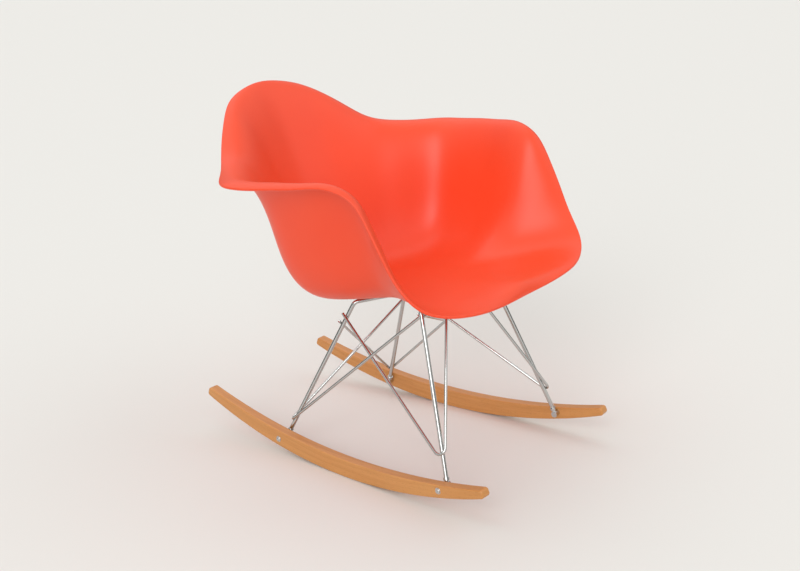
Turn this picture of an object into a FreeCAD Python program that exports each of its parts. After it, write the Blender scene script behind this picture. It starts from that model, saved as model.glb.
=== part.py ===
import FreeCAD, Part
import math
import os

# Rocking armchair: a moulded one-piece plastic shell on a welded rod base that
# stands on two curved wooden rockers.  Millimetres, +Z up, the sitter faces -Y,
# X = 0 is the mirror plane.  "right" and "left" are the sitter's.
#
# The sizes below describe the chair upright, with the middle of the rockers on
# the floor z = 0.  At the very end the whole chair rolls forward or back on its
# rockers until it balances, as it would on a level floor, and the origin goes to
# the floor under the middle of the chair.

Vec = FreeCAD.Vector
os.makedirs("parts", exist_ok=True)

# ---- seat shell -------------------------------------------------------------
shell_half_width = 315.0      # middle plane to the widest part of the arms
shell_front_y = -281.0        # front lip
shell_back_y = 334.0          # top edge of the back
lip_z = 369.0                 # front lip above the floor
back_z = 659.0                # top edge of the back above the floor
shell_wall = 5.0              # moulded wall thickness
rim_round = 2.6               # how far the rounded rim stands past the wall
seat_centre_y = -43.0         # middle of the flat seat bottom
flat_radius = 60.0            # flat disc in the middle of the seat
dish_radius = 102.0           # end of the nearly flat part of the seat
around_count = 44             # sections round the shell (even)

# ---- tilt and height of the top of the base ---------------------------------
seat_tilt = 12.2              # seat bottom falls to the rear by this angle
top_plane_z = 305.5           # rod centre plane above the floor at y = 0

# ---- rods -------------------------------------------------------------------
leg_d = 8.0                   # legs and their top runs
brace_d = 5.5                 # thin braces
leg_bend = 14.0               # centre-line bend radius at the leg tops
weld_bite = 0.15              # depth of the flat that each weld seat takes
brace_over = 9.0              # free end of a brace past the leg it is welded to

# ---- mounts -----------------------------------------------------------------
plate_d = 34.0
plate_t = 3.0
rubber_d = 30.0
rubber_t = 4.0
boss_d = 27.0
boss_into_wall = 3.0          # how far the moulded boss runs up into the wall
mount_run = 30.0              # from the leg bend along the top run
mount_screw_d = 5.0
mount_head_d = 8.8
mount_head_t = 2.6
mount_washer_d = 10.0
mount_washer_t = 1.0
mount_hole_clear = 0.5        # screw clearance in washer and plate, on diameter
mount_thread_in = 6.0         # thread length inside the boss
mount_socket_d = 3.0
mount_rod_gap = 0.6           # washer edge to rod

# ---- rockers ----------------------------------------------------------------
rocker_half = 178.9           # middle plane to the rocker centre plane at y = 0
rocker_splay = 2.87           # each rocker toes out to the front by this angle
rocker_t = 20.0
rocker_h = 35.0               # height above the lowest point
rocker_under_r = 990.0        # running surface
rocker_over_r = 1352.0        # top surface
rocker_over_shift = 9.5       # top arc centre behind the running arc centre
rocker_low_y = 34.5           # where the rocker touches the floor at rest
rocker_front_y = -350.0
rocker_rear_y = 350.0
rocker_end_round = 6.0        # corner radius at the tips
rocker_edge_round = 2.5       # rounding of the long edges
foot_spread = 396.5           # front to rear rocker screws
foot_mid_y = -53.3
foot_up = 14.5                # screw height above the running surface
screw_d = 6.0
screw_clear = 0.6
screw_head_d = 9.6
screw_head_t = 2.4
screw_socket = 4.0
washer_d = 12.0
washer_t = 1.2

# ---- feet -------------------------------------------------------------------
foot_boss_d = 12.0
foot_boss_len = 12.0
collar_d = 11.0
collar_h = 5.0
collar_up = 9.0               # from the foot boss axis to the collar, along the leg

# ---- densities, kg per mm3, for the balance ----------------------------------
density_shell = 1.10e-6       # moulded plastic
density_steel = 7.85e-6
density_wood = 0.60e-6        # hardwood
density_rubber = 1.20e-6

# ---- leg tops: x, and y of the point where the leg meets the top plane -------
front_top = (106.7, -140.0)
rear_top = (79.0, 35.5)

# derived
tilt = math.radians(seat_tilt)
splay = math.radians(rocker_splay)
leg_r = leg_d / 2.0
brace_r = brace_d / 2.0
top_normal = Vec(0, math.sin(tilt), math.cos(tilt))
inner_w = leg_r + plate_t + rubber_t + shell_wall + 6.0


def plane_z(y, w=0.0):
    """height at y of the plane w above the tilted rod centre plane"""
    return top_plane_z - math.tan(tilt) * y + w / math.cos(tilt)


def on_top(x, y, w=0.0):
    """point above (x, y) on the tilted plane w above the rod centre plane"""
    return Vec(x, y, plane_z(y, w))


def unit(v):
    out = Vec(v)
    out.normalize()
    return out


made = {}


def keep(shape, node):
    """one finished piece, still in the upright frame it is designed in"""
    made[node] = shape.Solids[0]


# ---- seat shell -------------------------------------------------------------
# Rim of one half from the front centre to the back centre.  Each point is given
# as a share of the half width, of the depth and of the lip-to-back height.
rim_keys = (
    (0.000, -0.016, -0.004),  # front lip, middle
    (0.475, -0.016, 0.034),   # front lip, before the corner
    (0.735, 0.042, 0.090),    # front corner
    (0.814, 0.106, 0.225),    # foot of the arm front
    (0.845, 0.176, 0.471),    # arm front
    (0.861, 0.237, 0.667),    # arm front, under the arm top
    (0.899, 0.310, 0.741),    # front end of the arm top
    (0.965, 0.440, 0.711),    # arm top
    (1.000, 0.602, 0.663),    # arm top, widest
    (0.959, 0.683, 0.650),    # rear corner of the arm
    (0.813, 0.756, 0.643),    # hollow between arm and back
    (0.633, 0.847, 0.687),    # foot of the back wing
    (0.476, 0.918, 0.827),    # back wing
    (0.282, 0.979, 0.947),    # back shoulder
    (0.000, 1.000, 1.000),    # top of the back, middle
)

# Section of the wall from the dish to just inside the rim, as (share of the
# distance from the seat centre to the rim, share of the rim height above the
# seat plane), given at five places round the shell.
section_keys = (
    (0.00, ((0.56, 0.0), (0.70, -0.02), (0.84, -0.05), (0.93, 0.05), (0.985, 0.38))),
    (0.20, ((0.48, 0.04), (0.63, 0.19), (0.765, 0.42), (0.87, 0.71), (0.953, 0.94))),
    (0.50, ((0.49, 0.03), (0.645, 0.15), (0.755, 0.42), (0.825, 0.85), (0.93, 1.07))),
    (0.68, ((0.44, 0.0), (0.60, 0.12), (0.70, 0.38), (0.768, 0.84), (0.90, 1.06))),
    (1.00, ((0.38, 0.0), (0.50, 0.05), (0.58, 0.24), (0.76, 0.60), (0.935, 0.96))),
)


def along(keys, steps, t):
    """smooth curve through keys placed at steps (cubic with averaged slopes)"""
    last = len(keys) - 1
    k = 0
    while k < last - 1 and t > steps[k + 1]:
        k = k + 1
    gap = steps[k + 1] - steps[k]
    s = (t - steps[k]) / gap
    out = []
    for i in range(len(keys[0])):
        slopes = []
        for j in (k, k + 1):
            a = max(j - 1, 0)
            b = min(j + 1, last)
            slopes.append((keys[b][i] - keys[a][i]) / (steps[b] - steps[a]) * gap)
        h1 = 2 * s ** 3 - 3 * s ** 2 + 1
        h2 = s ** 3 - 2 * s ** 2 + s
        h3 = 3 * s ** 2 - 2 * s ** 3
        h4 = s ** 3 - s ** 2
        out.append(h1 * keys[k][i] + h2 * slopes[0] + h3 * keys[k + 1][i] + h4 * slopes[1])
    return out


def rim_points():
    """the rim as evenly spaced points round the whole shell, front centre first"""
    half = []
    for fx, fy, fz in rim_keys:
        y = shell_front_y + (shell_back_y - shell_front_y) * fy
        half.append((shell_half_width * fx, y, lip_z + (back_z - lip_z) * fz))
    # one mirrored key at each end keeps the curve square to the middle plane
    keys = [(-half[1][0], half[1][1], half[1][2])] + half
    keys.append((-half[-2][0], half[-2][1], half[-2][2]))
    steps = [0.0]
    for a, b in zip(keys, keys[1:]):
        steps.append(steps[-1] + Vec(*a).distanceToPoint(Vec(*b)))
    first = steps[1]
    span = steps[-2] - first
    side = []
    for i in range(around_count // 2 + 1):
        side.append(along(keys, steps, first + span * i / (around_count // 2)))
    side[0][0] = 0.0
    side[-1][0] = 0.0
    whole = side + [[-p[0], p[1], p[2]] for p in side[-2:0:-1]]
    return [Vec(*p) for p in whole]


def section_at(share):
    """section control points at a share of the way from front to back"""
    flat = [[c for pair in pts for c in pair] for place, pts in section_keys]
    places = [place for place, pts in section_keys]
    row = along(flat, places, share)
    return list(zip(row[0::2], row[1::2]))


def through_points(grid):
    """control points of the closed curves that pass through the grid rows"""
    net = [list(row) for row in grid]
    count = len(grid)
    for turn in range(30):
        fixed = []
        for i in range(count):
            row = []
            for j in range(len(grid[0])):
                near = net[i - 1][j] + net[(i + 1) % count][j]
                miss = grid[i][j] - (near + net[i][j] * 4) * (1 / 6.0)
                row.append(net[i][j] + miss)
            fixed.append(row)
        net = fixed
    return net


def inner_net():
    """control net of the inside of the shell: one row per section"""
    centre = Vec(0, seat_centre_y, 0)
    w = inner_w
    grid = []
    rim = rim_points()
    for i, edge in enumerate(rim):
        share = min(i, around_count - i) / (around_count / 2.0)
        out = Vec(edge.x, edge.y, 0) - centre
        reach = out.Length
        out = unit(out)
        rise = edge.z - plane_z(edge.y, w)
        row = []
        for r in (flat_radius, dish_radius):
            p = centre + out * r
            row.append(Vec(p.x, p.y, plane_z(p.y, w)))
        for fr, fz in section_at(share):
            p = centre + out * (reach * fr)
            row.append(Vec(p.x, p.y, plane_z(p.y, w) + rise * fz))
        row.append(edge)
        grid.append(row)
    return through_points(grid)


def shifted_net(net, distance):
    """the net moved along its normals, to the outside of the shell"""
    count = len(net)
    out = []
    for i in range(count):
        row = []
        for j in range(len(net[0])):
            if j < 2:
                n = top_normal * -1
            else:
                turn = net[(i + 1) % count][j] - net[i - 1][j]
                up = net[i][min(j + 1, len(net[0]) - 1)] - net[i][j - 1]
                n = unit(turn.cross(up))
            row.append(net[i][j] + n * distance)
        out.append(row)
    return out


def closed_surface(net):
    """cubic surface, closed round the shell and open along the section"""
    count = len(net)
    across = len(net[0])
    surface = Part.BSplineSurface()
    inner = across - 4
    v_mults = [4] + [1] * inner + [4]
    v_knots = [float(k) for k in range(inner + 2)]
    u_knots = [float(k) for k in range(count + 1)]
    surface.buildFromPolesMultsKnots(
        net, [1] * (count + 1), v_mults, u_knots, v_knots, True, False, 3, 3)
    return surface


def disc_face(surface, v):
    return Part.Face(Part.Wire([surface.vIso(v).toShape()]))


inside = inner_net()
outside = shifted_net(inside, shell_wall)
rim_net = []
for i in range(around_count):
    tip = unit(inside[i][-1] - inside[i][-2])
    push = tip * (rim_round * 4 / 3.0)
    a = inside[i][-1]
    b = outside[i][-1]
    rim_net.append([a, a + push, b + push, b])
surf_in = closed_surface(inside)
surf_out = closed_surface(outside)
surf_rim = closed_surface(rim_net)
faces = [surf_in.toShape(), surf_out.toShape(), surf_rim.toShape()]
faces.append(disc_face(surf_in, 0.0))
faces.append(disc_face(surf_out, 0.0))
skin = Part.Shell(faces)
skin.sewShape()
seat = Part.Solid(skin)
if seat.Volume < 0:
    seat.reverse()


# ---- mount positions --------------------------------------------------------
corners = {
    "front_right": (-1, front_top, rear_top),
    "front_left": (1, front_top, rear_top),
    "rear_right": (-1, rear_top, front_top),
    "rear_left": (1, rear_top, front_top),
}
side_shift = leg_r + mount_washer_d / 2.0 + mount_rod_gap


def top_point(name):
    sign, here, there = corners[name]
    return on_top(sign * here[0], here[1])


def far_point(name):
    sign, here, there = corners[name]
    return on_top(-sign * there[0], there[1])


def mount_point(name, w):
    start = top_point(name)
    run = unit(far_point(name) - start)
    side = run.cross(top_normal)
    outward = -1 if name.startswith("front") else 1
    if side.y * outward < 0:
        side = side * -1
    return start + run * mount_run + side * side_shift + top_normal * w


def disc(name, w, d, t):
    return Part.makeCylinder(d / 2.0, t, mount_point(name, w), top_normal)


w_plate = leg_r
w_rubber = w_plate + plate_t
w_boss = w_rubber + rubber_t
w_head = w_plate - mount_washer_t - mount_head_t

for name in corners:
    boss_h = inner_w - shell_wall + boss_into_wall - w_boss
    seat = seat.fuse(disc(name, w_boss, boss_d, boss_h))
for name in corners:
    seat = seat.cut(disc(name, w_boss - 1.0, mount_screw_d, mount_thread_in + 1.0))
keep(seat, "seat_shell")

for name in corners:
    hole_d = mount_screw_d + mount_hole_clear
    plate = disc(name, w_plate, plate_d, plate_t)
    plate = plate.cut(disc(name, w_plate - 1.0, hole_d, plate_t + 2.0))
    keep(plate, "mount_plate_" + name)
    rubber = disc(name, w_rubber, rubber_d, rubber_t)
    rubber = rubber.cut(disc(name, w_rubber - 1.0, hole_d, rubber_t + 2.0))
    keep(rubber, "mount_rubber_" + name)
    ring = disc(name, w_plate - mount_washer_t, mount_washer_d, mount_washer_t)
    ring = ring.cut(disc(name, w_plate - 3.0, hole_d, 6.0))
    keep(ring, "mount_washer_" + name)
    shank_len = mount_washer_t + plate_t + rubber_t + mount_thread_in
    screw = disc(name, w_head, mount_head_d, mount_head_t)
    screw = screw.fuse(disc(name, w_head + mount_head_t, mount_screw_d, shank_len))
    screw = screw.cut(disc(name, w_head - 1.0, mount_socket_d, 2.4))
    keep(screw.removeSplitter(), "mount_screw_" + name)


# ---- rockers ----------------------------------------------------------------
def under_z(s):
    return rocker_under_r - math.sqrt(rocker_under_r ** 2 - (s - rocker_low_y) ** 2)


def over_z(s):
    base = rocker_h + rocker_over_r
    return base - math.sqrt(rocker_over_r ** 2 - (s - rocker_low_y - rocker_over_shift) ** 2)


def rocker_frame(sign):
    """placement that takes the rocker's own plane to its splayed position"""
    turn = FreeCAD.Rotation(Vec(0, 0, 1), -math.degrees(splay) * -sign)
    return FreeCAD.Placement(Vec(sign * rocker_half, 0, 0), turn)


def rocker_blank():
    """the rocker in the plane x = 0, as long as the chord between its tips"""
    stretch = 1 / math.cos(splay)
    front = rocker_front_y * stretch
    rear = rocker_rear_y * stretch
    low = []
    top = []
    for s in (front, (front + rear) / 2.0, rear):
        low.append(Vec(-rocker_t / 2.0, s, under_z(s)))
        top.append(Vec(-rocker_t / 2.0, s, over_z(s)))
    # the ends stand square to the running surface
    lean_f = (front - rocker_low_y) / rocker_under_r
    lean_r = (rear - rocker_low_y) / rocker_under_r
    s = front - lean_f * (over_z(front) - under_z(front))
    top[0] = Vec(-rocker_t / 2.0, s, over_z(s))
    s = rear - lean_r * (over_z(rear) - under_z(rear))
    top[2] = Vec(-rocker_t / 2.0, s, over_z(s))
    edges = [
        Part.Arc(low[0], low[1], low[2]).toShape(),
        Part.makeLine(low[2], top[2]),
        Part.Arc(top[2], top[1], top[0]).toShape(),
        Part.makeLine(top[0], low[0]),
    ]
    body = Part.Face(Part.Wire(edges)).extrude(Vec(rocker_t, 0, 0))
    cross = []
    for e in body.Edges:
        a = e.Vertexes[0].Point
        b = e.Vertexes[-1].Point
        if abs(a.x - b.x) > rocker_t * 0.9:
            cross.append(e)
    body = body.makeFillet(rocker_end_round, cross)
    longs = []
    for e in body.Edges:
        if e.BoundBox.XLength < 0.01:
            longs.append(e)
    return body.makeFillet(rocker_edge_round, longs)


blank = rocker_blank()
foot_s = {
    "front": (foot_mid_y - foot_spread / 2.0) / math.cos(splay),
    "rear": (foot_mid_y + foot_spread / 2.0) / math.cos(splay),
}


def foot_axis(name):
    """point on the rocker centre plane at the screw, and outward direction"""
    sign = corners[name][0]
    s = foot_s[name.split("_")[0]]
    frame = rocker_frame(sign)
    point = frame.multVec(Vec(0, s, under_z(s) + foot_up))
    out = frame.Rotation.multVec(Vec(sign, 0, 0))
    return point, out


def bar(name, start, length, d):
    """cylinder on the foot axis, from start (outward of the centre plane)"""
    point, out = foot_axis(name)
    return Part.makeCylinder(d / 2.0, length, point + out * start, out)


half_t = rocker_t / 2.0
for side, sign in (("right", -1), ("left", 1)):
    rocker = blank.copy()
    rocker.Placement = rocker_frame(sign)
    for end in ("front", "rear"):
        name = end + "_" + side
        hole = bar(name, -half_t - 2.0, rocker_t + 4.0, screw_d + screw_clear)
        recess = bar(name, half_t - washer_t, washer_t + 3.0, washer_d)
        rocker = rocker.cut(hole).cut(recess)
    keep(rocker, "rocker_" + side)

foot_thread = foot_boss_len - 3.0
for name in corners:
    washer = bar(name, half_t - washer_t, washer_t, washer_d)
    washer = washer.cut(bar(name, half_t - washer_t - 1.0, 6.0, screw_d + screw_clear))
    keep(washer, "rocker_washer_" + name)
    screw = bar(name, half_t, screw_head_t, screw_head_d)
    rim = [e for e in screw.Edges if e.Curve.TypeId == "Part::GeomCircle"]
    point, out = foot_axis(name)
    rim.sort(key=lambda e: (e.CenterOfMass - point).dot(out))
    screw = screw.makeFillet(screw_head_t * 0.6, [rim[-1]])
    shank = bar(name, -half_t - foot_thread, rocker_t + foot_thread, screw_d)
    screw = screw.fuse(shank).removeSplitter()
    across = screw_socket / math.sqrt(3)
    start = point + out * (half_t + screw_head_t - 1.8)
    flat_x = unit(out.cross(Vec(0, 0, 1)))
    flat_y = out.cross(flat_x)
    ring = []
    for k in range(7):
        a = math.radians(60 * k)
        ring.append(start + flat_x * (across * math.cos(a)) + flat_y * (across * math.sin(a)))
    socket = Part.Face(Part.makePolygon(ring)).extrude(out * 4.0)
    screw = screw.cut(socket)
    keep(screw, "rocker_screw_" + name)


# ---- legs -------------------------------------------------------------------
def foot_point(name):
    """where the leg axis meets the foot boss axis"""
    point, out = foot_axis(name)
    return point - out * (half_t + foot_boss_len / 2.0)


def rod(points, d, bend):
    """round rod along a polyline whose inner corners are bent to a radius"""
    edges = []
    here = points[0]
    for k in range(1, len(points) - 1):
        corner = points[k]
        back = unit(points[k - 1] - corner)
        ahead = unit(points[k + 1] - corner)
        half_angle = back.getAngle(ahead) / 2.0
        cut_back = bend / math.tan(half_angle)
        a = corner + back * cut_back
        b = corner + ahead * cut_back
        middle = unit(back + ahead)
        centre = corner + middle * (bend / math.sin(half_angle))
        m = centre - middle * bend
        if (a - here).Length > 0.01:
            edges.append(Part.makeLine(here, a))
        edges.append(Part.Arc(a, m, b).toShape())
        here = b
    edges.append(Part.makeLine(here, points[-1]))
    path = Part.Wire(edges)
    start = unit(points[1] - points[0])
    profile = Part.Wire([Part.makeCircle(d / 2.0, points[0], start)])
    return path.makePipeShell([profile], True, False)


foot_bosses = {}
collars = {}
for name in corners:
    body = bar(name, -half_t - foot_boss_len, foot_boss_len, foot_boss_d)
    foot_bosses[name] = body
    axis = unit(top_point(name) - foot_point(name))
    base = foot_point(name) + axis * collar_up
    ring = Part.makeCylinder(collar_d / 2.0, collar_h, base, axis)
    bore = Part.makeCylinder(leg_r, collar_h + 4.0, base - axis * 2.0, axis)
    collars[name] = ring.cut(bore)

diagonal = rod(
    [foot_point("front_right"), top_point("front_right"),
     top_point("rear_left"), foot_point("rear_left")], leg_d, leg_bend)
a = top_point("front_right")
b = top_point("rear_left")
share = -a.x / (b.x - a.x)
cross_at = a + (b - a) * share
halves = {}
for name in ("front_left", "rear_right"):
    halves[name] = rod([foot_point(name), top_point(name), cross_at], leg_d, leg_bend)
legs = {"front_right": diagonal, "rear_left": diagonal}
for name in halves:
    legs[name] = halves[name].cut(diagonal)
    if len(legs[name].Solids) > 1:
        legs[name] = max(legs[name].Solids, key=lambda s: s.Volume)
for name in corners:
    legs[name] = legs[name].cut(foot_bosses[name])
    if len(legs[name].Solids) > 1:
        legs[name] = max(legs[name].Solids, key=lambda s: s.Volume)
    if name == "front_right":
        legs["rear_left"] = legs[name]
    if name == "rear_left":
        legs["front_right"] = legs[name]
keep(legs["front_right"], "leg_rod_diagonal")
keep(legs["front_left"], "leg_rod_front_left")
keep(legs["rear_right"], "leg_rod_rear_right")
for name in corners:
    body = foot_bosses[name].cut(bar(name, -half_t - foot_thread, foot_thread + 1.0, screw_d))
    keep(body, "foot_boss_" + name)
    keep(collars[name], "foot_collar_" + name)


# ---- braces -----------------------------------------------------------------
touch = leg_r + brace_r - weld_bite


def leg_at(name, z):
    """point on a leg axis at height z"""
    a = foot_point(name)
    b = top_point(name)
    return a + (b - a) * ((z - a.z) / (b.z - a.z))


def leg_dir(name):
    return unit(top_point(name) - foot_point(name))


def beside(name, z, away):
    """point that touches the leg at height z on the side facing away"""
    axis = leg_dir(name)
    flat = away - axis * away.dot(axis)
    return leg_at(name, z) + unit(flat) * touch


# height of each end of a brace on its leg
front_hook_z = 86.0
rear_hook_z = 46.0
rear_leg_weld_z = 268.0       # front brace on the rear leg
front_leg_weld_z = 326.0      # rear brace on the front leg
cross_weld_z = {"right": 263.0, "left": 252.0}  # rear brace on the other rear leg
cross_rod_z = 322.0           # straight rod between the front legs
inner_weld_x = 45.0           # front brace on that rod
spreader_z = 328.0            # ends of the dipped spreader on the front legs
spreader_low = (-117.0, 274.0)  # y and z of its lowest point
hook_bend = 5.0               # rear braces, tight round the leg
front_hook_bend = 11.0        # front braces, a loose U
spreader_bend = 22.0


def hook_corner(name, z, end_a, end_b):
    """corner of a brace so that both of its arms pass the leg at weld distance"""
    axis = leg_dir(name)
    point = leg_at(name, z)
    corner = point
    for turn in range(6):
        arms = []
        for end in (end_a, end_b):
            d = end - corner
            arms.append(unit(d - axis * d.dot(axis)))
        half_angle = arms[0].getAngle(arms[1]) / 2.0
        corner = point - unit(arms[0] + arms[1]) * (touch / math.sin(half_angle))
    return corner


def loop_corner(name, z, end_a, end_b, bend):
    """corner of a loose U bend that touches the leg from the far side"""
    axis = leg_dir(name)
    point = leg_at(name, z)
    low, high = touch, 120.0
    for turn in range(40):
        reach = (low + high) / 2.0
        corner = point
        for again in range(6):
            flat = Vec(0, 0, 0)
            for end in (end_a, end_b):
                d = end - corner
                flat = flat + unit(d - axis * d.dot(axis))
            corner = point - unit(flat) * reach
        back = unit(end_a - corner)
        ahead = unit(end_b - corner)
        half_angle = back.getAngle(ahead) / 2.0
        inward = unit(back + ahead)
        side = unit(ahead - back)
        centre = corner + inward * (bend / math.sin(half_angle))
        gap = 1000.0
        for step in range(-8, 9):
            a = (math.pi / 2.0 - half_angle) * step / 8.0
            d = centre - inward * (bend * math.cos(a)) + side * (bend * math.sin(a)) - point
            gap = min(gap, (d - axis * d.dot(axis)).Length)
        past_leg = (point - centre + inward * bend).dot(unit(flat)) > 0
        if past_leg and gap > touch:
            high = reach
        else:
            low = reach
    return corner


def past(point, end):
    return end + unit(end - point) * brace_over


cross_axis = {}
for side, sign in (("right", -1), ("left", 1)):
    cross_axis[side] = leg_at("front_" + side, cross_rod_z)
cross_rod = rod([cross_axis["right"], cross_axis["left"]], brace_d, hook_bend)
under_cross = unit(Vec(0, -1.0, -0.25)) * (brace_d - weld_bite)

# which side of the other leg the crossing rear braces pass, so that they clear
cross_side = {"right": Vec(0, -1, 0), "left": Vec(0, 1, 0)}
braces = {}
for side, sign in (("right", -1), ("left", 1)):
    other = "left" if sign < 0 else "right"
    outer = Vec(sign, 0, 0)
    # front brace: rear leg, round the front leg, up to the cross rod
    name = "front_" + side
    end_a = beside("rear_" + side, rear_leg_weld_z, outer)
    end_b = Vec(sign * inner_weld_x, cross_axis[side].y, cross_rod_z) + under_cross
    corner = loop_corner(name, front_hook_z, end_a, end_b, front_hook_bend)
    braces[name] = rod(
        [past(corner, end_a), corner, past(corner, end_b)], brace_d, front_hook_bend)
    # rear brace: front leg, round the rear leg, across to the other rear leg
    name = "rear_" + side
    end_a = beside("front_" + side, front_leg_weld_z, Vec(-sign, 0.4, 0))
    end_b = beside("rear_" + other, cross_weld_z[side], cross_side[side])
    corner = hook_corner(name, rear_hook_z, end_a, end_b)
    braces[name] = rod(
        [past(corner, end_a), corner, past(corner, end_b)], brace_d, hook_bend)

ends = []
for side, sign in (("right", -1), ("left", 1)):
    ends.append(beside("front_" + side, spreader_z, Vec(0, 1, 0)))
spreader = rod(
    [ends[0], Vec(0, spreader_low[0], spreader_low[1]), ends[1]], brace_d, spreader_bend)

# weld seats: a later rod is notched where it bites into an earlier one
done = [legs["front_right"], legs["front_left"], legs["rear_right"]]
order = [("front_cross_rod", cross_rod), ("front_spreader", spreader)]
for name in ("front_right", "front_left", "rear_right", "rear_left"):
    order.append(("brace_" + name, braces[name]))
for node, body in order:
    for earlier in done:
        if body.BoundBox.intersect(earlier.BoundBox):
            body = body.cut(earlier)
    if len(body.Solids) > 1:
        body = max(body.Solids, key=lambda s: s.Volume)
    done.append(body)
    keep(body, node)


# ---- balance and export -----------------------------------------------------
def density_of(node):
    if node == "seat_shell":
        return density_shell
    if node in ("rocker_right", "rocker_left"):
        return density_wood
    if node.startswith("mount_rubber"):
        return density_rubber
    return density_steel


mass = 0.0
moment = Vec(0, 0, 0)
for node, body in made.items():
    m = body.Volume * density_of(node)
    mass = mass + m
    moment = moment + body.CenterOfMass * m
balance = moment * (1 / mass)
# The running surface is an arc, so the chair turns about the arc's centre line
# until the centre of mass hangs straight below it.
roll_centre = Vec(0, rocker_low_y, rocker_under_r)
rest_roll = math.atan2(rocker_low_y - balance.y, rocker_under_r - balance.z)
turn = FreeCAD.Rotation(Vec(1, 0, 0), math.degrees(rest_roll))
rest = FreeCAD.Placement(Vec(0, 0, 0), turn, roll_centre)


def placed(shape, placement):
    out = shape.copy()
    out.Placement = placement.multiply(out.Placement)
    return out


span = None
for node in ("rocker_right", "rocker_left", "seat_shell"):
    box = placed(made[node], rest).optimalBoundingBox(False, False)
    if span is None:
        span = [box.YMin, box.YMax, box.ZMin]
    span = [min(span[0], box.YMin), max(span[1], box.YMax), min(span[2], box.ZMin)]
home = FreeCAD.Placement(Vec(0, -(span[0] + span[1]) / 2.0, -span[2]), FreeCAD.Rotation())
rest = home.multiply(rest)
for node, body in made.items():
    placed(body, rest).exportStep("parts/" + node + ".step")
    print(node, body.isValid(), round(body.Volume, 1))
print("pieces", len(made), "mass", round(mass, 3))
print("rest roll", math.degrees(rest_roll), "span", span, "home", home.Base)
print("centre of mass", rest.multVec(balance))
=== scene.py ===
import math

import bmesh
import bpy
import numpy as np
from mathutils import Matrix


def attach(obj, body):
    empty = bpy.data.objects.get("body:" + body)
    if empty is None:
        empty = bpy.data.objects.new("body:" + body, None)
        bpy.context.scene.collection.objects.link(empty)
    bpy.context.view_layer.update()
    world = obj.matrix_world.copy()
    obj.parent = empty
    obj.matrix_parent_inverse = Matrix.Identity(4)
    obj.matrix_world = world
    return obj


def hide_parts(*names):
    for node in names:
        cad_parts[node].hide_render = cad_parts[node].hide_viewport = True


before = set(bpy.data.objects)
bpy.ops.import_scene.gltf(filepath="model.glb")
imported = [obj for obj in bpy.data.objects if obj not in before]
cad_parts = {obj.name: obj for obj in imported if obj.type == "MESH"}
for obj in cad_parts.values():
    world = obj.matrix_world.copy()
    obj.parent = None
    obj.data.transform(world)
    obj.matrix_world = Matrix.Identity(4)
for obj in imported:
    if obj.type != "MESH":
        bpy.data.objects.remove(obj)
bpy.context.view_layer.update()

# Looks of a rocking armchair: a moulded plastic shell on a chromed rod base with
# two curved wooden rockers.  Sizes below are millimetres in the chair's upright
# frame; to_row() rolls them to the balanced rest pose and turns them to metres.

LOW_Y, UNDER_R = 34.5, 990.0     # lowest line and radius of the rockers' running surface
REST_ROLL = math.radians(3.3488211779)
ROLL_CENTRE = np.array([0.0, LOW_Y, UNDER_R])
HOME = np.array([0.0, -54.05332483, 0.02024021])


def to_row(points):
    """row = (turn about X by REST_ROLL around ROLL_CENTRE + HOME) / 1000"""
    p = np.asarray(points, float) - ROLL_CENTRE
    c, s = math.cos(REST_ROLL), math.sin(REST_ROLL)
    y = p[..., 1] * c - p[..., 2] * s
    z = p[..., 1] * s + p[..., 2] * c
    return (np.stack([p[..., 0], y, z], -1) + ROLL_CENTRE + HOME) / 1000.0


def unit(v):
    """v / |v|"""
    return v / np.linalg.norm(v, axis=-1, keepdims=True)


def vec(x, y, z):
    return np.array([x, y, z], float)


# ---- meshes -----------------------------------------------------------------
def grid_mesh(name, points):
    """quads over points[i, j]; i runs round (closed), j runs along; flat end caps"""
    rows, cols = points.shape[:2]
    index = np.arange(rows * cols).reshape(rows, cols)
    around = np.roll(index, -1, 0)
    quads = np.stack([index[:, :-1], around[:, :-1], around[:, 1:], index[:, 1:]], -1)
    faces = quads.reshape(-1, 4).tolist() + [index[::-1, 0].tolist(), index[:, -1].tolist()]
    mesh = bpy.data.meshes.new(name)
    mesh.from_pydata(points.reshape(-1, 3).tolist(), [], faces)
    mesh.polygons.foreach_set("use_smooth", np.ones(len(mesh.polygons), bool))
    mesh.update()
    obj = bpy.data.objects.new(name, mesh)
    bpy.context.scene.collection.objects.link(obj)
    return obj


def outward(obj):
    """turns every face of a closed mesh outward"""
    bm = bmesh.new()
    bm.from_mesh(obj.data)
    bmesh.ops.recalc_face_normals(bm, faces=bm.faces)
    bm.to_mesh(obj.data)
    bm.free()
    return obj


def finish_piece(obj, nodes, material):
    """dresses a new piece, fixes it to the chair and hides the solids it stands for"""
    obj.data.materials.clear()
    obj.data.materials.append(material)
    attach(obj, "root")
    for node in nodes:
        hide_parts(node)
    return obj


# ---- materials --------------------------------------------------------------
# Noise scales are cells per metre, which is 1000 / the size in millimetres.
def linear(hex_colour):
    """sRGB hex to linear RGBA: c/12.92 under 0.04045, else ((c+0.055)/1.055)^2.4"""
    c = np.array([int(hex_colour[i:i + 2], 16) / 255.0 for i in (1, 3, 5)])
    low = c / 12.92
    high = ((c + 0.055) / 1.055) ** 2.4
    return (*np.where(c <= 0.04045, low, high), 1.0)


def add(tree, kind, settings=None, links=None, **attributes):
    """one shader node with its attributes, constant inputs and incoming links"""
    node = tree.nodes.new(kind)
    for key, value in attributes.items():
        setattr(node, key, value)
    for key, value in (settings or {}).items():
        node.inputs[key].default_value = value
    for key, source in (links or {}).items():
        tree.links.new(source, node.inputs[key])
    return node


def blank(name):
    """an empty material with its Principled shader: returns material, tree, shader"""
    mat = bpy.data.materials.new(name)
    mat.use_nodes = True
    tree = mat.node_tree
    shader = tree.nodes["Principled BSDF"]
    return mat, tree, shader


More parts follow.
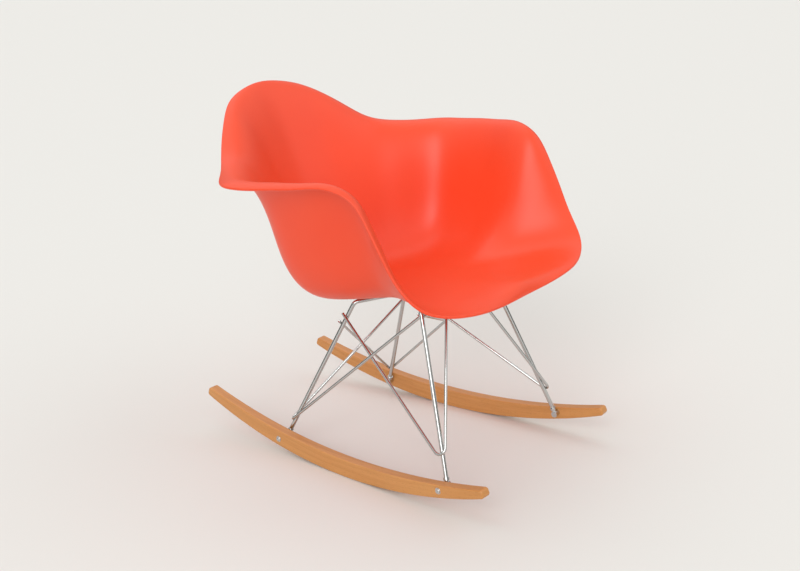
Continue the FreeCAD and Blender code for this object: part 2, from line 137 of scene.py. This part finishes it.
# Moulded polypropylene, coloured through in the mass: a hard satin skin straight
# from a finely eroded mould.  The eye sees an even orange red, soft wide
# highlights along the bends, and a little light glowing through the thin rim.
# The mould's real grit is about 0.1 mm; it is drawn at 0.7 mm so that it shows,
# and the flow of the plastic changes tint and shine over about 110 mm.
plastic, tree, shader = blank("moulded polypropylene, orange red")
where = add(tree, "ShaderNodeTexCoord")
grain = add(tree, "ShaderNodeTexNoise", {"Scale": 1400.0, "Detail": 3.0, "Roughness": 0.55},
            {"Vector": where.outputs["Object"]})
flow = add(tree, "ShaderNodeTexNoise", {"Scale": 9.0, "Detail": 2.0, "Roughness": 0.5},
           {"Vector": where.outputs["Object"]})
shine = add(tree, "ShaderNodeMapRange", {"To Min": 0.36, "To Max": 0.44},
            {"Value": flow.outputs["Fac"]})
tint = add(tree, "ShaderNodeMixRGB", {"Color1": linear("#ec4621"), "Color2": linear("#f04c26")},
           {"Fac": flow.outputs["Fac"]})
skin = add(tree, "ShaderNodeBump", {"Strength": 0.12, "Distance": 0.00004},
           {"Height": grain.outputs["Fac"]})
tree.links.new(tint.outputs["Color"], shader.inputs["Base Color"])
tree.links.new(shine.outputs["Result"], shader.inputs["Roughness"])
tree.links.new(skin.outputs["Normal"], shader.inputs["Normal"])
shader.inputs["IOR"].default_value = 1.49
shader.inputs["Subsurface Weight"].default_value = 0.06
shader.inputs["Subsurface Radius"].default_value = (1.0, 0.28, 0.12)
shader.inputs["Subsurface Scale"].default_value = 0.004

# Bright chromium plate on drawn steel rod: polished wire, bent and welded before
# plating.  The eye sees mirror-like dark and light stripes along each rod, with
# the faintest haze from handling in patches of about 17 mm.
chrome, tree, shader = blank("chromium plated steel rod")
where = add(tree, "ShaderNodeTexCoord")
haze = add(tree, "ShaderNodeTexNoise", {"Scale": 60.0, "Detail": 4.0, "Roughness": 0.6},
           {"Vector": where.outputs["Object"]})
shine = add(tree, "ShaderNodeMapRange", {"To Min": 0.05, "To Max": 0.13},
            {"Value": haze.outputs["Fac"]})
tree.links.new(shine.outputs["Result"], shader.inputs["Roughness"])
shader.inputs["Base Color"].default_value = linear("#c4c5c4")
shader.inputs["Metallic"].default_value = 1.0

# Zinc plated steel of the socket screws and washers: rolled and pressed, satin.
# The eye sees a light grey ring with soft highlights and a 1 mm mottle.
steel, tree, shader = blank("zinc plated steel")
where = add(tree, "ShaderNodeTexCoord")
haze = add(tree, "ShaderNodeTexNoise", {"Scale": 900.0, "Detail": 3.0, "Roughness": 0.6},
           {"Vector": where.outputs["Object"]})
shine = add(tree, "ShaderNodeMapRange", {"To Min": 0.24, "To Max": 0.36},
            {"Value": haze.outputs["Fac"]})
tree.links.new(shine.outputs["Result"], shader.inputs["Roughness"])
shader.inputs["Base Color"].default_value = linear("#cfcfce")
shader.inputs["Metallic"].default_value = 1.0

# Black vulcanised rubber of the shock mounts: moulded, matt and slightly dusty,
# with specks of 1 to 2 mm.
rubber, tree, shader = blank("black vulcanised rubber")
where = add(tree, "ShaderNodeTexCoord")
dust = add(tree, "ShaderNodeTexNoise", {"Scale": 700.0, "Detail": 4.0, "Roughness": 0.6},
           {"Vector": where.outputs["Object"]})
tone = add(tree, "ShaderNodeMixRGB", {"Color1": linear("#161617"), "Color2": linear("#242425")},
           {"Fac": dust.outputs["Fac"]})
tree.links.new(tone.outputs["Color"], shader.inputs["Base Color"])
shader.inputs["Roughness"].default_value = 0.72
shader.inputs["IOR"].default_value = 1.52

# Beech rockers, laminated lengthwise, sanded and finished with clear satin
# lacquer.  The eye sees a warm golden tan, long faint grain lines that follow
# the curve, and the short brown flecks that mark beech.  Position is measured
# along and across the rocker's mid curve, an arc of radius GRAIN_R.  Grain lines
# are 6 to 8 mm apart, flecks about 8 mm long and 0.7 mm wide, and the broad
# change of tone takes 200 mm.
GRAIN_R = 1170.0
beech, tree, shader = blank("lacquered beech")
where = add(tree, "ShaderNodeTexCoord")
axis = to_row(vec(0, LOW_Y, GRAIN_R))
split = add(tree, "ShaderNodeSeparateXYZ", None, {"Vector": where.outputs["Object"]})
ahead = add(tree, "ShaderNodeMath", {1: axis[1]}, {0: split.outputs["Y"]}, operation="SUBTRACT")
drop = add(tree, "ShaderNodeMath", {0: axis[2]}, {1: split.outputs["Z"]}, operation="SUBTRACT")
angle = add(tree, "ShaderNodeMath", None, {0: ahead.outputs[0], 1: drop.outputs[0]},
            operation="ARCTAN2")
length = add(tree, "ShaderNodeMath", {1: GRAIN_R / 1000.0}, {0: angle.outputs[0]},
             operation="MULTIPLY")
level = add(tree, "ShaderNodeCombineXYZ", None, {"X": ahead.outputs[0], "Y": drop.outputs[0]})
radius = add(tree, "ShaderNodeVectorMath", None, {0: level.outputs[0]}, operation="LENGTH")
curved = add(tree, "ShaderNodeCombineXYZ", None,
             {"X": length.outputs[0], "Y": radius.outputs["Value"], "Z": split.outputs["X"]})
stretch = add(tree, "ShaderNodeMapping", {"Scale": (3.0, 160.0, 120.0)},
              {"Vector": curved.outputs[0]})
lines = add(tree, "ShaderNodeTexNoise", {"Scale": 1.0, "Detail": 6.0, "Roughness": 0.62,
            "Distortion": 0.35}, {"Vector": stretch.outputs["Vector"]})
short = add(tree, "ShaderNodeMapping", {"Scale": (130.0, 1500.0, 1500.0)},
            {"Vector": curved.outputs[0]})
flecks = add(tree, "ShaderNodeTexNoise", {"Scale": 1.0, "Detail": 2.0, "Roughness": 0.5},
             {"Vector": short.outputs["Vector"]})
dots = add(tree, "ShaderNodeMapRange", {"From Min": 0.60, "From Max": 0.74, "To Max": 0.55},
           {"Value": flecks.outputs["Fac"]})
broad = add(tree, "ShaderNodeTexNoise", {"Scale": 5.0, "Detail": 2.0},
            {"Vector": curved.outputs[0]})
ramp = add(tree, "ShaderNodeValToRGB", None, {"Fac": lines.outputs["Fac"]})
for stop, place, tan in zip(ramp.color_ramp.elements, (0.30, 0.72), ("#bb7d3f", "#d79c5d")):
    stop.position, stop.color = place, linear(tan)
shade = add(tree, "ShaderNodeMixRGB", {"Color2": linear("#c68643")},
            {"Color1": ramp.outputs["Color"], "Fac": broad.outputs["Fac"]})
mark = add(tree, "ShaderNodeMixRGB", {"Color2": linear("#925a2a")},
           {"Color1": shade.outputs["Color"], "Fac": dots.outputs["Result"]})
pores = add(tree, "ShaderNodeBump", {"Strength": 0.15, "Distance": 0.00006},
            {"Height": lines.outputs["Fac"]})
tree.links.new(mark.outputs["Color"], shader.inputs["Base Color"])
tree.links.new(pores.outputs["Normal"], shader.inputs["Normal"])
shader.inputs["Roughness"].default_value = 0.42
shader.inputs["IOR"].default_value = 1.5
shader.inputs["Coat Weight"].default_value = 0.25
shader.inputs["Coat Roughness"].default_value = 0.22

# ---- seat shell -------------------------------------------------------------
HALF_WIDTH, FRONT_Y, BACK_Y = 315.0, -281.0, 334.0
LIP_Z, BACK_Z = 369.0, 659.0
WALL, RIM_ROUND = 5.0, 2.6
SEAT_Y, FLAT_R, DISH_R = -43.0, 60.0, 102.0       # centre, flat and dish of the seat
TILT, TOP_Z = math.radians(12.2), 305.5           # plane of the rods' top runs
LEG_D, BRACE_D, LEG_BEND = 8.0, 5.5, 14.0
PLATE_T, RUBBER_T, BOSS_STANDS = 3.0, 4.0, 6.0
INNER_W = LEG_D / 2 + PLATE_T + RUBBER_T + WALL + BOSS_STANDS
NORMAL = vec(0, math.sin(TILT), math.cos(TILT))
SECTIONS = 44                                     # control sections round the shell
ROUND_SAMPLES, WALL_SAMPLES, RIM_SAMPLES, DISC_RINGS = 352, 92, 11, 8

# rim of one half, front centre to back centre, as shares of the half width, of
# the depth and of the height from lip to back
RIM = np.array([
    (0.000, -0.016, -0.004), (0.475, -0.016, 0.034), (0.735, 0.042, 0.090),
    (0.814, 0.106, 0.225), (0.845, 0.176, 0.471), (0.861, 0.237, 0.667),
    (0.899, 0.310, 0.741), (0.965, 0.440, 0.711), (1.000, 0.602, 0.663),
    (0.959, 0.683, 0.650), (0.813, 0.756, 0.643), (0.633, 0.847, 0.687),
    (0.476, 0.918, 0.827), (0.282, 0.979, 0.947), (0.000, 1.000, 1.000)])
# at each place round the shell: wall points from dish to rim, as shares of the
# distance from the seat centre to the rim and of the rim's height over the seat plane
PLACES = np.array([0.0, 0.2, 0.5, 0.68, 1.0])
PROFILES = np.array([
    [(0.56, 0.0), (0.70, -0.02), (0.84, -0.05), (0.93, 0.05), (0.985, 0.38)],
    [(0.48, 0.04), (0.63, 0.19), (0.765, 0.42), (0.87, 0.71), (0.953, 0.94)],
    [(0.49, 0.03), (0.645, 0.15), (0.755, 0.42), (0.825, 0.85), (0.93, 1.07)],
    [(0.44, 0.0), (0.60, 0.12), (0.70, 0.38), (0.768, 0.84), (0.90, 1.06)],
    [(0.38, 0.0), (0.50, 0.05), (0.58, 0.24), (0.76, 0.60), (0.935, 0.96)]])


def plane_z(y, w=0.0):
    """z = TOP_Z - y tan(TILT) + w / cos(TILT)"""
    return TOP_Z - math.tan(TILT) * y + w / math.cos(TILT)


def hermite(keys, steps, t):
    """cubic through keys at steps, slope at key j = (k[j+1]-k[j-1])/(s[j+1]-s[j-1])"""
    last = len(keys) - 1
    k = np.clip(np.searchsorted(steps, t, side="left") - 1, 0, last - 1)
    gap = steps[k + 1] - steps[k]
    s = (t - steps[k]) / gap

    def slope(j):
        a, b = np.maximum(j - 1, 0), np.minimum(j + 1, last)
        return (keys[b] - keys[a]) / (steps[b] - steps[a])[:, None] * gap[:, None]
    s = s[:, None]
    return ((2 * s**3 - 3 * s**2 + 1) * keys[k] + (s**3 - 2 * s**2 + s) * slope(k)
            + (3 * s**2 - 2 * s**3) * keys[k + 1] + (s**3 - s**2) * slope(k + 1))


def rim_points():
    """evenly spaced points round the mirrored rim, front centre first"""
    half = np.stack([HALF_WIDTH * RIM[:, 0], FRONT_Y + (BACK_Y - FRONT_Y) * RIM[:, 1],
                     LIP_Z + (BACK_Z - LIP_Z) * RIM[:, 2]], -1)
    flip = np.array([-1, 1, 1])
    keys = np.concatenate([half[1:2] * flip, half, half[-2:-1] * flip])
    steps = np.concatenate([[0], np.cumsum(np.linalg.norm(np.diff(keys, axis=0), axis=1))])
    t = steps[1] + (steps[-2] - steps[1]) * np.arange(SECTIONS // 2 + 1) / (SECTIONS // 2)
    side = hermite(keys, steps, t)
    side[[0, -1], 0] = 0.0
    return np.concatenate([side, side[-2:0:-1] * flip])


def shell_nets():
    """control nets: inside I solves (I[i-1] + 4 I[i] + I[i+1]) / 6 = section point,
    outside is I + WALL n, and the rim net bulges RIM_ROUND 4/3 past both"""
    rim = rim_points()
    i = np.arange(SECTIONS)
    share = np.minimum(i, SECTIONS - i) / (SECTIONS / 2)
    flat = PROFILES.reshape(len(PLACES), -1)
    row = hermite(flat, PLACES, share).reshape(SECTIONS, -1, 2)
    out = rim * [1, 1, 0] - vec(0, SEAT_Y, 0)
    reach = np.linalg.norm(out, axis=1, keepdims=True)
    out = out / reach
    rise = rim[:, 2] - plane_z(rim[:, 1], INNER_W)
    far = np.concatenate([np.full((SECTIONS, 1), FLAT_R), np.full((SECTIONS, 1), DISH_R),
                          reach * row[:, :, 0]], 1)
    up = np.concatenate([np.zeros((SECTIONS, 2)), rise[:, None] * row[:, :, 1]], 1)
    net = vec(0, SEAT_Y, 0) + out[:, None] * far[:, :, None]
    net[:, :, 2] = plane_z(net[:, :, 1], INNER_W) + up
    grid = np.concatenate([net, rim[:, None]], 1)
    inside = grid.copy()
    for again in range(30):
        near = np.roll(inside, 1, 0) + np.roll(inside, -1, 0)
        inside = inside + grid - (near + 4 * inside) / 6
    sweep = np.roll(inside, -1, 0) - np.roll(inside, 1, 0)
    climb = np.concatenate([inside[:, 1:], inside[:, -1:]], 1) - np.concatenate(
        [inside[:, :1], inside[:, :-1]], 1)
    normal = unit(np.cross(sweep, climb))
    normal[:, :2] = -NORMAL
    outside = inside + normal * WALL
    push = unit(inside[:, -1] - inside[:, -2]) * (RIM_ROUND * 4 / 3)
    edge = np.stack([inside[:, -1], inside[:, -1] + push, outside[:, -1] + push,
                     outside[:, -1]], 1)
    return inside, outside, edge


def around_basis(count, samples):
    """uniform closed cubic B-spline basis, one row per sample"""
    t = np.arange(samples) * count / samples
    k, s = np.floor(t).astype(int), t % 1
    weights = [(1 - s)**3 / 6, (3 * s**3 - 6 * s**2 + 4) / 6,
               (-3 * s**3 + 3 * s**2 + 3 * s + 1) / 6, s**3 / 6]
    basis = np.zeros((samples, count))
    for j, w in enumerate(weights):
        basis[np.arange(samples), (k - 1 + j) % count] += w
    return basis


def along_basis(count, t):
    """clamped cubic B-spline basis (Cox-de Boor) at t in 0..1"""
    knots = np.concatenate([[0] * 3, np.linspace(0, 1, count - 2), [1] * 3])
    t = np.clip(t, 0, 1 - 1e-12)
    basis = ((t[:, None] >= knots[:-1]) & (t[:, None] < knots[1:])).astype(float)
    for d in (1, 2, 3):
        n = basis.shape[1] - 1
        a = knots[d:d + n] - knots[:n]
        b = knots[d + 1:d + 1 + n] - knots[1:1 + n]
        left = np.where(a > 0, (t[:, None] - knots[:n]) / np.where(a > 0, a, 1), 0)
        right = np.where(b > 0, (knots[d + 1:d + 1 + n] - t[:, None]) / np.where(b > 0, b, 1), 0)
        basis = left * basis[:, :n] + right * basis[:, 1:n + 1]
    return basis


def seat_shell():
    """S(u, v) = sum B_i(u) N_j(v) P_ij over three nets, joined inside, rim, outside,
    and closed at the seat middle by rings that shrink to the centre"""
    inside, outside, edge = shell_nets()
    around = around_basis(SECTIONS, ROUND_SAMPLES)
    up_wall = along_basis(inside.shape[1], np.linspace(0, 1, WALL_SAMPLES))
    over_rim = along_basis(edge.shape[1], np.linspace(0, 1, RIM_SAMPLES))
    skin = np.einsum("ui,vj,ijk->uvk", around, up_wall, inside)
    back = np.einsum("ui,vj,ijk->uvk", around, up_wall[::-1], outside)
    lip = np.einsum("ui,vj,ijk->uvk", around, over_rim[1:-1], edge)
    shrink = np.linspace(0.01, 1, DISC_RINGS + 1)[:-1, None]

    def disc(ring):
        """rings between the middle of the seat and this ring"""
        centre = ring.mean(0)
        return centre + (ring[:, None] - centre) * shrink
    parts = [disc(skin[:, 0]), skin, lip, back, disc(back[:, -1])[:, ::-1]]
    return outward(grid_mesh("seat_shell_skin", to_row(np.concatenate(parts, 1))))


finish_piece(seat_shell(), ["seat_shell"], plastic)


# ---- turned pieces ----------------------------------------------------------
def lathe(name, centre, axis, radii, heights, turns=64):
    """P(a, j) = centre + axis h_j + r_j (e1 cos a + e2 sin a)"""
    axis = unit(axis)
    e1 = unit(np.cross(axis, vec(0, 1, 0.3)))
    e2 = np.cross(axis, e1)
    a = np.linspace(0, 2 * math.pi, turns, endpoint=False)[:, None, None]
    r = np.asarray(radii, float)[None, :, None]
    h = np.asarray(heights, float)[None, :, None]
    points = centre + axis * h + r * (e1 * np.cos(a) + e2 * np.sin(a))
    return outward(grid_mesh(name, to_row(points)))


# x and y where the legs bend into the top runs, and the corners with the side of
# each, its own bend and the bend at the far end of its run
FRONT_TOP, REAR_TOP = (106.7, -140.0), (79.0, 35.5)
CORNERS = {"front_right": (-1, FRONT_TOP, REAR_TOP), "front_left": (1, FRONT_TOP, REAR_TOP),
           "rear_right": (-1, REAR_TOP, FRONT_TOP), "rear_left": (1, REAR_TOP, FRONT_TOP)}
MOUNT_RUN, MOUNT_WASHER_R, MOUNT_GAP = 30.0, 5.0, 0.6
BOSS_R, BOSS_EDGE, BOSS_FLARE, BOSS_RISE = 13.5, 0.7, 5.0, 6.5
PIN_R = 0.4                                       # closes the middle of a turned piece


def top_point(name):
    """where a leg meets the tilted rod plane"""
    sign, here, there = CORNERS[name]
    return vec(sign * here[0], here[1], plane_z(here[1]))


def far_point(name):
    """the other end of a leg's top run, across the middle"""
    sign, here, there = CORNERS[name]
    return vec(-sign * there[0], there[1], plane_z(there[1]))


def mount_point(name, w):
    """centre line of a mount, beside its rod, at height w above the rod plane"""
    start = top_point(name)
    run = unit(far_point(name) - start)
    side = np.cross(run, NORMAL)
    if side[1] * (-1 if name.startswith("front") else 1) < 0:
        side = -side
    shift = LEG_D / 2 + MOUNT_WASHER_R + MOUNT_GAP
    return start + run * MOUNT_RUN + side * shift + NORMAL * w


# moulded bosses: a rounded lower edge, then r = BOSS_R + BOSS_FLARE t^3 into the wall
w_boss = LEG_D / 2 + PLATE_T + RUBBER_T
flare = np.linspace(0, 1, 8)
boss_radii = [PIN_R, BOSS_R - BOSS_EDGE, BOSS_R - 0.2, BOSS_R,
              *(BOSS_R + BOSS_FLARE * flare**3), PIN_R]
boss_heights = [w_boss, w_boss, w_boss + 0.25, w_boss + BOSS_EDGE,
                *(w_boss + 0.8 + BOSS_RISE * flare), w_boss + 0.9 + BOSS_RISE]
for name in CORNERS:
    boss = lathe("boss_" + name, mount_point(name, 0.0), NORMAL, boss_radii, boss_heights)
    finish_piece(boss, ["seat_shell"], plastic)

# ---- rods -------------------------------------------------------------------
ROCKER_HALF, SPLAY, ROCKER_T = 178.9, math.radians(2.87), 20.0
FOOT_SPREAD, FOOT_MID_Y, FOOT_UP, BOSS_LEN = 396.5, -53.3, 14.5, 12.0
FRONT_HOOK_Z, REAR_HOOK_Z = 86.0, 46.0
REAR_LEG_WELD_Z, FRONT_LEG_WELD_Z = 268.0, 326.0
CROSS_WELD_Z = {"right": 263.0, "left": 252.0}
CROSS_ROD_Z, INNER_WELD_X = 322.0, 45.0
SPREADER_Z, SPREADER_LOW = 328.0, (-117.0, 274.0)
HOOK_BEND, FRONT_BEND, SPREADER_BEND = 5.0, 11.0, 22.0
OVER, BITE, TIP_ROUND = 9.0, 0.15, 0.7            # past a weld, into it, rod ends
TOUCH = LEG_D / 2 + BRACE_D / 2 - BITE
REACH_LIMIT = 120.0                               # loosest bend that is tried
ARC_SAMPLES, TIP_SAMPLES, ROD_SIDES, LONGEST_STEP = 17, 4, 32, 30.0


def foot_point(name):
    """centre of a foot boss: on the inside of its rocker, FOOT_UP over the underside"""
    end, side = name.split("_")
    sign = -1 if side == "right" else 1
    s = (FOOT_MID_Y + (0.5 if end == "rear" else -0.5) * FOOT_SPREAD) / math.cos(SPLAY)
    a = sign * SPLAY
    out = sign * vec(math.cos(a), math.sin(a), 0)
    under = UNDER_R - math.sqrt(UNDER_R**2 - (s - LOW_Y)**2)
    point = vec(sign * ROCKER_HALF - math.sin(a) * s, math.cos(a) * s, under + FOOT_UP)
    return point - out * (ROCKER_T / 2 + BOSS_LEN / 2)


def leg_at(name, z):
    """point on a leg's axis at height z"""
    a, b = foot_point(name), top_point(name)
    return a + (b - a) * ((z - a[2]) / (b[2] - a[2]))


def square_to(axis, v):
    """v - axis (v . axis)"""
    return v - axis * (v @ axis)


def beside(name, z, away):
    """point TOUCH away from the leg axis at height z"""
    axis = unit(top_point(name) - foot_point(name))
    return leg_at(name, z) + unit(square_to(axis, away)) * TOUCH


def hook_corner(name, z, ends):
    """corner of a brace whose two arms both pass the leg at distance TOUCH"""
    axis = unit(top_point(name) - foot_point(name))
    point = leg_at(name, z)
    corner = point
    for again in range(6):
        a, b = (unit(square_to(axis, e - corner)) for e in ends)
        half_angle = math.acos(float(np.clip(a @ b, -1, 1))) / 2
        corner = point - unit(a + b) * (TOUCH / math.sin(half_angle))
    return corner


def loop_corner(name, z, ends, bend):
    """corner of a loose U bend with arc C - m R cos a + s R sin a, moved out until the
    arc's least distance from the leg axis is TOUCH, by halving an interval"""
    axis = unit(top_point(name) - foot_point(name))
    point = leg_at(name, z)
    low, high = TOUCH, REACH_LIMIT
    for halving in range(40):
        reach = (low + high) / 2
        corner = point
        for again in range(6):
            flat = sum(unit(square_to(axis, e - corner)) for e in ends)
            corner = point - unit(flat) * reach
        back, ahead = (unit(e - corner) for e in ends)
        half = math.acos(float(back @ ahead)) / 2
        inward, side = unit(back + ahead), unit(ahead - back)
        centre = corner + inward * (bend / math.sin(half))
        a = (np.linspace(-1, 1, ARC_SAMPLES) * (math.pi / 2 - half))[:, None]
        arc = centre - inward * (bend * np.cos(a)) + side * (bend * np.sin(a)) - point
        gap = np.linalg.norm(arc - np.outer(arc @ axis, axis), axis=1).min()
        past_leg = (point - centre + inward * bend) @ unit(flat) > 0
        if past_leg and gap > TOUCH:
            high = reach
        else:
            low = reach
    return corner


def past(corner, end):
    """end carried on by OVER"""
    return end + unit(end - corner) * OVER


def rod(name, points, d, bend, nodes):
    """tube round a polyline with arc corners: P = C + r(N cos a - B sin a), where N is
    carried along without twist, and both tips are quarter rounds"""
    points = np.array(points)
    line = [points[:1]]
    for before, corner, after in zip(points, points[1:], points[2:]):
        back, ahead = unit(before - corner), unit(after - corner)
        half = math.acos(float(back @ ahead)) / 2
        middle, side = unit(back + ahead), unit(ahead - back)
        centre = corner + middle * (bend / math.sin(half))
        phi = (np.linspace(-1, 1, ARC_SAMPLES) * (math.pi / 2 - half))[:, None]
        line.append(centre - middle * bend * np.cos(phi) + side * bend * np.sin(phi))
    line = np.concatenate(line + [points[-1:]])
    gaps = np.linalg.norm(np.diff(line, axis=0), axis=1)
    steps = np.maximum(1, gaps // LONGEST_STEP).astype(int)
    which = np.repeat(np.arange(len(steps)), steps)
    share = np.concatenate([np.arange(n) / n for n in steps])[:, None]
    line = np.concatenate([line[which] + (line[which + 1] - line[which]) * share, line[-1:]])
    seg = unit(np.diff(line, axis=0))
    tangent = unit(np.concatenate([seg[:1], seg[:-1] + seg[1:], seg[-1:]]))
    normals = [unit(square_to(tangent[0], np.cross(tangent[0], vec(0.3, 0.2, 1))))]
    for t in tangent[1:]:
        normals.append(unit(square_to(t, normals[-1])))
    a = np.linspace(0.02, math.pi / 2, TIP_SAMPLES + 1)[:-1]
    inset = (TIP_ROUND * (1 - np.sin(a)))[:, None]
    grow = d / 2 - TIP_ROUND + TIP_ROUND * np.sin(a)
    first, last = line[0] + tangent[0] * inset, line[-1] - tangent[-1] * inset[::-1]
    line[0] += tangent[0] * TIP_ROUND
    line[-1] -= tangent[-1] * TIP_ROUND
    line = np.concatenate([first, line, last])
    radius = np.concatenate([grow, np.full(len(tangent), d / 2), grow[::-1]])
    tangent = np.concatenate([tangent[[0] * TIP_SAMPLES], tangent, tangent[[-1] * TIP_SAMPLES]])
    normals = np.array(normals)
    normals = np.concatenate([normals[[0] * TIP_SAMPLES], normals, normals[[-1] * TIP_SAMPLES]])
    across = np.cross(tangent, normals)
    a = np.linspace(0, 2 * math.pi, ROD_SIDES, endpoint=False)[:, None, None]
    tube = line + radius[:, None] * (normals * np.cos(a) - across * np.sin(a))
    obj = outward(grid_mesh(name, to_row(tube)))
    return finish_piece(obj, nodes, chrome)


front_a, rear_b = top_point("front_right"), top_point("rear_left")
cross_at = front_a + (rear_b - front_a) * (-front_a[0] / (rear_b[0] - front_a[0]))
rod("rod_diagonal", [foot_point("front_right"), front_a, rear_b, foot_point("rear_left")],
    LEG_D, LEG_BEND, ["leg_rod_diagonal"])
for name in ("front_left", "rear_right"):
    stop = cross_at + unit(top_point(name) - cross_at) * (LEG_D / 2)
    rod("rod_" + name, [foot_point(name), top_point(name), stop], LEG_D, LEG_BEND,
        ["leg_rod_" + name])
rod("rod_front_cross", [leg_at("front_right", CROSS_ROD_Z), leg_at("front_left", CROSS_ROD_Z)],
    BRACE_D, HOOK_BEND, ["front_cross_rod"])
spread = [beside("front_" + side, SPREADER_Z, vec(0, 1, 0)) for side in ("right", "left")]
rod("rod_front_spreader", [spread[0], vec(0, *SPREADER_LOW), spread[1]], BRACE_D,
    SPREADER_BEND, ["front_spreader"])
for side, sign, other in (("right", -1, "left"), ("left", 1, "right")):
    under = unit(vec(0, -1, -0.25)) * (BRACE_D - BITE)
    ends = [beside("rear_" + side, REAR_LEG_WELD_Z, vec(sign, 0, 0)),
            vec(sign * INNER_WELD_X, leg_at("front_" + side, CROSS_ROD_Z)[1], CROSS_ROD_Z)
            + under]
    corner = loop_corner("front_" + side, FRONT_HOOK_Z, ends, FRONT_BEND)
    rod("rod_brace_front_" + side, [past(corner, ends[0]), corner, past(corner, ends[1])],
        BRACE_D, FRONT_BEND, ["brace_front_" + side])
    ends = [beside("front_" + side, FRONT_LEG_WELD_Z, vec(-sign, 0.4, 0)),
            beside("rear_" + other, CROSS_WELD_Z[side], vec(0, sign, 0))]
    corner = hook_corner("rear_" + side, REAR_HOOK_Z, ends)
    rod("rod_brace_rear_" + side, [past(corner, ends[0]), corner, past(corner, ends[1])],
        BRACE_D, HOOK_BEND, ["brace_rear_" + side])

# ---- finishes of the kept solids -------------------------------------------
FINISHES = {"rocker_screw": ("screw_steel", steel), "rocker_washer": ("screw_steel", steel),
            "mount_screw": ("screw_steel", steel), "mount_washer": ("screw_steel", steel),
            "mount_rubber": ("rubber", rubber), "rocker_right": ("rocker_wood", beech),
            "rocker_left": ("rocker_wood", beech), "seat_shell": ("shell", plastic)}
for name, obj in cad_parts.items():
    look, finish = "chrome_rod", chrome
    for start in FINISHES:
        if name.startswith(start):
            look, finish = FINISHES[start]
    obj.data.materials.clear()
    obj.data.materials.append(finish)

# ---- floor, light, camera ---------------------------------------------------
paint, tree, shader = blank("pale matt floor")
shader.inputs["Base Color"].default_value = linear("#e2e1de")
shader.inputs["Roughness"].default_value = 0.8
half = 40.0                                       # metres
mesh = bpy.data.meshes.new("floor")
mesh.from_pydata([(-half, -half, 0), (half, -half, 0), (half, half, 0), (-half, half, 0)],
                 [], [(0, 1, 2, 3)])
floor = bpy.data.objects.new("floor", mesh)
floor.data.materials.append(paint)
bpy.context.scene.collection.objects.link(floor)

# pale room, bright above and dim near the horizon so that the rods show dark
# stripes; looked at straight, it is as pale as the floor
PALE, DIM = 0.86, 0.16
world = bpy.data.worlds.new("pale studio")
bpy.context.scene.world = world
world.use_nodes = True
tree = world.node_tree
where = add(tree, "ShaderNodeTexCoord")
split = add(tree, "ShaderNodeSeparateXYZ", None, {"Vector": where.outputs["Generated"]})
rise = add(tree, "ShaderNodeMapRange", {"From Min": 0.02, "From Max": 0.55, "To Min": DIM,
           "To Max": PALE}, {"Value": split.outputs["Z"]}, interpolation_type="SMOOTHSTEP")
sky = tree.nodes["Background"]
sky.inputs["Color"].default_value = linear("#f6f5f2")
path = add(tree, "ShaderNodeLightPath")
seen = add(tree, "ShaderNodeMix", {"B": PALE}, {"A": rise.outputs["Result"],
           "Factor": path.outputs["Is Camera Ray"]})
tree.links.new(seen.outputs["Result"], sky.inputs["Strength"])


def soft_sun(name, toward, angle, strength):
    """far soft lamp in direction toward, seen as a disc of this angle in degrees"""
    data = bpy.data.lights.new(name, "SUN")
    data.angle, data.energy = math.radians(angle), strength
    lamp = bpy.data.objects.new(name, data)
    z = unit(np.array(toward, float))
    x = unit(np.cross(vec(0, 1, 0.1), z))
    turn = np.eye(4)
    turn[:3, :3] = np.stack([x, np.cross(z, x), z], 1)
    lamp.matrix_world = Matrix(turn.tolist())
    bpy.context.scene.collection.objects.link(lamp)


soft_sun("key_lamp", (-1.0, -0.45, 0.55), 42, 1.4)
soft_sun("fill_lamp", (0.5, -1.0, 0.9), 55, 0.35)
soft_sun("top_lamp", (0.1, 0.5, 1.0), 60, 0.45)

# the camera stands 50.5 degrees round to the sitter's right and 18.5 degrees up,
# rolled by 3 degrees
camera = bpy.data.objects.new("camera", bpy.data.cameras.new("camera"))
camera.data.sensor_width = 36.0
camera.data.lens = 56.0605
camera.data.clip_start, camera.data.clip_end = 0.05, 100.0
right = vec(0.6226585, -0.7808980, -0.0499473)
up = vec(0.2780785, 0.1611616, 0.9469421)
back = vec(-0.7314156, -0.6035108, 0.3174995)
turn = np.eye(4)
turn[:3, :3] = np.stack([right, up, back], 1)
turn[:3, 3] = (-1.703990, -1.430133, 1.055498)
camera.matrix_world = Matrix(turn.tolist())
bpy.context.scene.collection.objects.link(camera)
bpy.context.scene.camera = camera
bpy.context.scene.view_settings.view_transform = "Standard"
